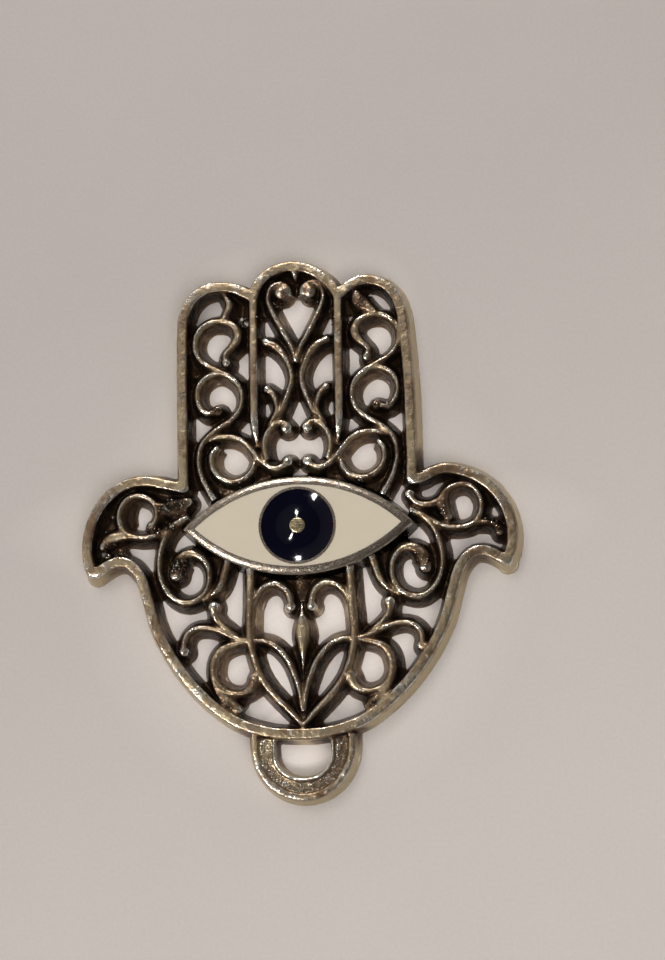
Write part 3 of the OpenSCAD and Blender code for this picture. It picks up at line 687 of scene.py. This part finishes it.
class Finish:
    """A material built node by node on object coordinates in metres."""

    def __init__(self, name):
        self.material = bpy.data.materials.new(name)
        self.material.use_nodes = True
        self.nodes = self.material.node_tree.nodes
        self.links = self.material.node_tree.links
        self.shader = self.nodes["Principled BSDF"]
        self.place = self.add("ShaderNodeTexCoord").outputs["Object"]

    def add(self, kind, inputs=None, **settings):
        node = self.nodes.new(kind)
        for name, value in settings.items():
            setattr(node, name, value)
        for name, value in (inputs or {}).items():
            if isinstance(value, bpy.types.NodeSocket):
                self.links.new(value, node.inputs[name])
            else:
                node.inputs[name].default_value = value
        return node

    def noise(self, size_mm, detail=3, roughness=0.5, place=None):
        return self.add("ShaderNodeTexNoise", {"Vector": place or self.place, "Scale": 1 / (size_mm * METRE),
                                               "Detail": detail, "Roughness": roughness}).outputs["Fac"]

    def span(self, value, low, high, to_low=0.0, to_high=1.0):
        """Brings a value between low and high to one between to_low and to_high."""
        return self.add("ShaderNodeMapRange", {"Value": value, "From Min": low, "From Max": high,
                                               "To Min": to_low, "To Max": to_high}).outputs["Result"]

    def span_mm(self, value, low, high, to_low=0.0, to_high=1.0):
        """The same for a length that is given in millimetres."""
        return self.span(value, low * METRE, high * METRE, to_low, to_high)

    def math(self, kind, one, two, clamp=False):
        return self.add("ShaderNodeMath", {0: one, 1: two}, operation=kind, use_clamp=clamp).outputs[0]

    def blend(self, share, one, two, kind="MIX"):
        node = self.add("ShaderNodeMix", {"Factor": share}, data_type="RGBA", blend_type=kind)
        for socket, value in ((6, one), (7, two)):
            if isinstance(value, bpy.types.NodeSocket):
                self.links.new(value, node.inputs[socket])
            else:
                node.inputs[socket].default_value = (*value, 1)
        return node.outputs[2]

    def bump(self, height, depth_mm, before=None):
        inputs = {"Height": height, "Strength": 1.0, "Distance": depth_mm * METRE}
        if before is not None:
            inputs["Normal"] = before
        return self.add("ShaderNodeBump", inputs).outputs["Normal"]

    def set(self, **sockets):
        for name, value in sockets.items():
            socket = self.shader.inputs[name.replace("_", " ")]
            if isinstance(value, bpy.types.NodeSocket):
                self.links.new(value, socket)
            else:
                socket.default_value = value


def antiqued_metal():
    """Bright polished crests over brown flanks, with black left in the hollows, a painted reflection of the
    floor on the low walls and painted light on the left of the bail.
    """
    f = Finish("antiqued_metal")
    sheltered = f.add("ShaderNodeAttribute", attribute_name="sheltered").outputs["Fac"]
    curved = f.add("ShaderNodeAttribute", attribute_name="curved").outputs["Fac"]
    across, up, height = f.add("ShaderNodeSeparateXYZ", {"Vector": f.place}).outputs
    blotch, streak, fine = f.noise(1.1, 4, 0.6), f.noise(3.5, 3), f.noise(0.2, 3)
    worn = f.math("ADD", f.span(curved, 0.55, 1.45), f.span(blotch, 0.3, 0.7, -0.5, 0.3), clamp=True)
    worn = f.math("MULTIPLY", worn, f.span(sheltered, 0.1, 0.45, 1.0, 0.25))
    grain = f.math("MULTIPLY", f.span(curved, 3.0, 4.5), f.span(blotch, 0.4, 0.6, 0.15, 0.8))
    worn = f.math("MAXIMUM", worn, grain)
    worn = f.math("MULTIPLY", worn, f.span_mm(height, 0.2, 0.7))
    black = f.math("ADD", f.span(sheltered, 0.03, 0.27), f.span(blotch, 0.3, 0.7, -0.25, 0.2), clamp=True)
    # Less black low down, so the foot of each wall stays paler: painted reflection of the floor.
    black = f.math("MULTIPLY", black, f.span_mm(height, 0.2, 1.4, 0.55, 1.0))
    # On the bail's top the black is thinned and the pale colour comes through, most on its left: painted
    # light on the bail.
    off_bail = f.math("MAXIMUM", f.span_mm(up, -23.3, -22.9), f.span_mm(height, 1.9, 1.6))
    black = f.math("MULTIPLY", black, f.span(off_bail, 0, 1, f.span_mm(across, -4, 4, 0.05, 0.5)))
    bail_painted_light = f.span(off_bail, 0, 1, f.span_mm(across, -4, 4, 0.3, 0.8))
    black = f.math("MULTIPLY", black, f.span(worn, 0.1, 0.8, 1.0, 0.35))
    dents = f.math("MULTIPLY", f.noise(0.8, 2), f.span_mm(height, 2.2, 2.4, 1.0, 0.5))
    # Flanks run from a paler foot to a dark neck; the paler foot is a painted reflection of the floor.
    foot = f.blend(streak, (0.24, 0.185, 0.12), (0.42, 0.33, 0.22))
    neck = f.blend(streak, (0.09, 0.06, 0.036), (0.22, 0.155, 0.095))
    flank_with_floor_reflection = f.blend(f.span_mm(height, 0.3, 1.4), foot, neck)
    flat = f.blend(f.span(streak, 0.35, 0.65), (0.225, 0.15, 0.095), (0.46, 0.37, 0.245))
    # Open walls below the top take a pale colour: partly unpatinated polish, partly painted reflection of the
    # floor.
    outer = f.blend(f.span_mm(height, 1.7, 2.2), (0.57, 0.475, 0.305), flat)
    brown = f.blend(f.math("MULTIPLY", f.span(sheltered, 0.01, 0.10), bail_painted_light), outer, flank_with_floor_reflection)
    metal = f.blend(worn, brown, (0.96, 0.92, 0.83))
    umber = f.blend(f.span(black, 0, 0.6), metal, (0.12, 0.072, 0.042))
    colour = f.blend(f.span(black, 0.45, 1.0), umber, (0.009, 0.006, 0.004))
    f.set(Base_Color=colour, Metallic=f.span(black, 0.3, 1.0, 1.0, 0.6),
          Roughness=f.math("ADD", f.span(worn, 0, 1, 0.36, 0.16), f.span(fine, 0.3, 0.7, -0.05, 0.06)),
          Normal=f.bump(fine, 0.012, f.bump(dents, 0.15)))
    f.shader.inputs["Specular IOR Level"].default_value = 0.15
    return f.material


def polished_rim():
    """Rubbed metal with scratches that run along the rim, and a warmer dot in the middle."""
    f = Finish("scratched_rim")
    parts = f.add("ShaderNodeSeparateXYZ", {"Vector": f.place}).outputs
    lift = f.math("ADD", f.math("ABSOLUTE", parts["Y"], 0.0), (EYE_R - EYE_H / 2) * METRE)
    out = f.math("SQRT", f.math("ADD", f.math("POWER", parts["X"], 2.0), f.math("POWER", lift, 2.0)), 0.0)
    along = f.math("MULTIPLY", f.math("ARCTAN2", parts["X"], lift), EYE_R * METRE)
    flow = f.add("ShaderNodeCombineXYZ", {"X": out, "Y": f.math("MULTIPLY", along, 0.1)}).outputs[0]
    scratch = f.noise(0.16, 4, 0.7, flow)
    blotch, fine = f.noise(0.9, 4, 0.65), f.noise(0.12, 4, 0.7)
    top = f.span_mm(parts["Z"], 2.15, 2.6)
    share = f.math("ADD", f.span(scratch, 0.38, 0.62, 0, 0.7), f.span(blotch, 0.35, 0.65, -0.2, 0.35),
                   clamp=True)
    metal = f.blend(share, (0.15, 0.114, 0.084), (0.60, 0.525, 0.445))
    middle = f.add("ShaderNodeVectorMath", {0: f.place, 1: (0, 0, EYE_T * METRE)},
                   operation="DISTANCE").outputs["Value"]
    metal = f.blend(f.span_mm(middle, 1.15, 1.3), (0.50, 0.42, 0.25), metal)
    colour = f.blend(top, (0.03, 0.022, 0.016), metal)
    f.set(Base_Color=colour, Metallic=1.0, Roughness=f.span(share, 0, 1, 0.36, 0.15),
          Normal=f.bump(scratch, 0.02, f.bump(fine, 0.01, f.bump(blotch, 0.04))))
    return f.material


def white_enamel():
    """Cream and glossy, a little cloudy."""
    f = Finish("white_enamel_gloss")
    cloud = f.noise(3.0, 3)
    speck = f.noise(0.3, 2)
    f.set(Base_Color=f.blend(cloud, (0.52, 0.463, 0.363), (0.56, 0.498, 0.394)),
          Roughness=f.span(speck, 0.3, 0.7, 0.16, 0.26),
          Normal=f.bump(f.noise(1.8, 2), 0.01))
    f.shader.inputs["Coat Weight"].default_value = 0.4
    f.shader.inputs["Coat Roughness"].default_value = 0.08
    return f.material


def blue_enamel():
    """Glossy, and so dark that only the glints show."""
    f = Finish("blue_enamel_gloss")
    cloud = f.noise(1.6, 3)
    f.set(Base_Color=f.blend(cloud, (0.0006, 0.0006, 0.003), (0.0016, 0.0016, 0.009)),
          Roughness=f.span(f.noise(0.4, 2), 0.3, 0.7, 0.04, 0.09),
          Normal=f.bump(f.noise(1.2, 2), 0.015))
    f.shader.inputs["Specular IOR Level"].default_value = 0.2
    return f.material


# Forms that together cover the floor under the pendant, where light is painted onto the floor.
# Columns: middle above the eye, half width, half height, power of the rounding
UNDER_PENDANT = [(8, 12.6, 20.5, 4), (-4, 17.6, 18.5, 2), (0.5, 23, 5.5, 2), (-22.5, 5.0, 3.9, 2)]


def pale_floor():
    """Matt and pale, with painted light: the most under the pendant and toward the lower right."""
    f = Finish("pale_floor")
    across, up, _ = f.add("ShaderNodeSeparateXYZ", {"Vector": f.place}).outputs
    under = None
    for middle, half_width, half_height, power in UNDER_PENDANT:
        x = f.math("POWER", f.math("ABSOLUTE", f.math("DIVIDE", across, half_width * METRE), 0.0), power)
        y = f.math("SUBTRACT", up, middle * METRE)
        y = f.math("POWER", f.math("ABSOLUTE", f.math("DIVIDE", y, half_height * METRE), 0.0), power)
        inside = f.math("SUBTRACT", 1.0, f.math("ADD", x, y))
        under = inside if under is None else f.math("MAXIMUM", under, inside)
    # Painted pool of light under the pendant, so the floor seen through the holes is bright, and painted
    # light growing toward the lower right.
    light = f.math("ADD", f.span(under, -1.2, 0.0, 0.0, 0.14), f.span(under, 0.0, 0.35, 0.0, 0.55))
    slant = f.math("SUBTRACT", f.math("MULTIPLY", across, 0.35), up)
    light = f.math("ADD", light, f.span_mm(slant, -35, 41, 0.955, 1.11))
    cloud, grain = f.noise(22, 5, 0.6), f.noise(0.35, 3)
    paper = f.blend(cloud, (0.44, 0.404, 0.384), (0.478, 0.44, 0.419))
    paper = f.blend(f.span(grain, 0.2, 0.8, 0, 0.3), paper, (0.33, 0.3, 0.28))
    paper = f.add("ShaderNodeVectorMath", {0: paper, "Scale": light}, operation="SCALE").outputs[0]
    f.set(Base_Color=paper, Roughness=0.6, Normal=f.bump(grain, 0.01))
    return f.material


# The scene

def finished(piece, material, node, angle=30):
    """Brings a piece to metres and gives it its finish and its place in the frame."""
    piece.data.transform(Matrix.Scale(METRE, 4))
    select_only(piece)
    bpy.ops.object.shade_smooth_by_angle(angle=math.radians(angle))
    piece.data.materials.clear()
    piece.data.materials.append(material)
    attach(piece, "root")
    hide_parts(node)


finished(make_casting(), antiqued_metal(), "hamsa_casting", 50)
finished(make_eye_setting(), polished_rim(), "hamsa_casting")
finished(make_white_enamel(), white_enamel(), "white_enamel")
finished(make_blue_enamel(), blue_enamel(), "blue_enamel")


# The camera: its turns in degrees about z, x and y, the eye's crest seen from it
# in millimetres, and its lens and picture height in millimetres
TURN_Z, TURN_X, TURN_Y = 0.86, -9.92, -7.77
SEEN_AT = (-3.83, -4.97, -218.55)
LENS, PICTURE = 75, 36

# Lamps, in metres and watts. The two small ones give the glints.
# Columns: name, place, size, power, colour, the kind of ray that is left out
LAMPS = [
    ("above_fingers", (-0.10, 0.41, 0.43), 0.05, 1.6, (1.0, 0.98, 0.94), "visible_diffuse"),
    ("lower_left", (-0.27, -0.206, 0.497), 0.05, 1.6, (1.0, 0.98, 0.94), "visible_diffuse"),
    ("over_the_camera", (0.13, -0.18, 0.36), 0.30, 1.22, (1.0, 0.98, 0.95), "visible_glossy"),
    ("soft_above", (-0.14, 0.22, 0.50), 0.30, 1.25, (1.0, 0.98, 0.95), "visible_glossy"),
    ("left_fill", (-0.45, 0.15, 0.40), 0.90, 0.45, (1.0, 0.98, 0.95), None)
]
# The room's light, level and toward overhead. Columns: height, colour
ROOM = [(0.0, (0.58, 0.56, 0.53)), (0.85, (0.095, 0.09, 0.086))]


def add_floor(across=3):
    bpy.ops.mesh.primitive_plane_add(size=across)
    floor = bpy.context.object
    floor.name = "floor"
    floor.data.materials.append(pale_floor())


def add_camera():
    """Looks down at the pendant, a little from its foot and from its right."""
    turn = (Matrix.Rotation(math.radians(TURN_Z), 3, "Z") @ Matrix.Rotation(math.radians(TURN_X), 3, "X")
            @ Matrix.Rotation(math.radians(TURN_Y), 3, "Y"))
    lens = bpy.data.cameras.new("camera")
    lens.sensor_fit, lens.sensor_height, lens.lens = "VERTICAL", PICTURE, LENS
    lens.clip_start = 0.01
    camera = bpy.data.objects.new("camera", lens)
    place = (Vector((0, 0, FRAME_T)) - turn.transposed() @ Vector(SEEN_AT)) * METRE
    camera.matrix_world = Matrix.Translation(place) @ turn.transposed().to_4x4()
    bpy.context.collection.objects.link(camera)
    bpy.context.scene.camera = camera


def add_lamp(name, place, size, watts, colour, left_out):
    """A square lamp that points at the pendant."""
    lamp = bpy.data.lights.new(name, "AREA")
    lamp.size, lamp.energy, lamp.color = size, watts, colour
    holder = bpy.data.objects.new(name, lamp)
    holder.location = place
    holder.rotation_euler = (-Vector(place)).to_track_quat("-Z", "Y").to_euler()
    if left_out:
        setattr(holder, left_out, False)
    bpy.context.collection.objects.link(holder)


def add_lights():
    """The lamps, in a room that is dimmer overhead."""
    for lamp in LAMPS:
        add_lamp(*lamp)
    world = bpy.data.worlds.new("soft_room")
    world.use_nodes = True
    nodes, links = world.node_tree.nodes, world.node_tree.links
    height = nodes.new("ShaderNodeSeparateXYZ")
    links.new(nodes.new("ShaderNodeTexCoord").outputs["Generated"], height.inputs[0])
    ramp = nodes.new("ShaderNodeValToRGB")
    for stop, (at, colour) in zip(ramp.color_ramp.elements, ROOM):
        stop.position, stop.color = at, (*colour, 1)
    links.new(height.outputs["Z"], ramp.inputs["Fac"])
    links.new(ramp.outputs["Color"], nodes["Background"].inputs["Color"])
    bpy.context.scene.world = world
    bpy.context.scene.view_settings.view_transform = "Standard"


add_floor()
add_camera()
add_lights()
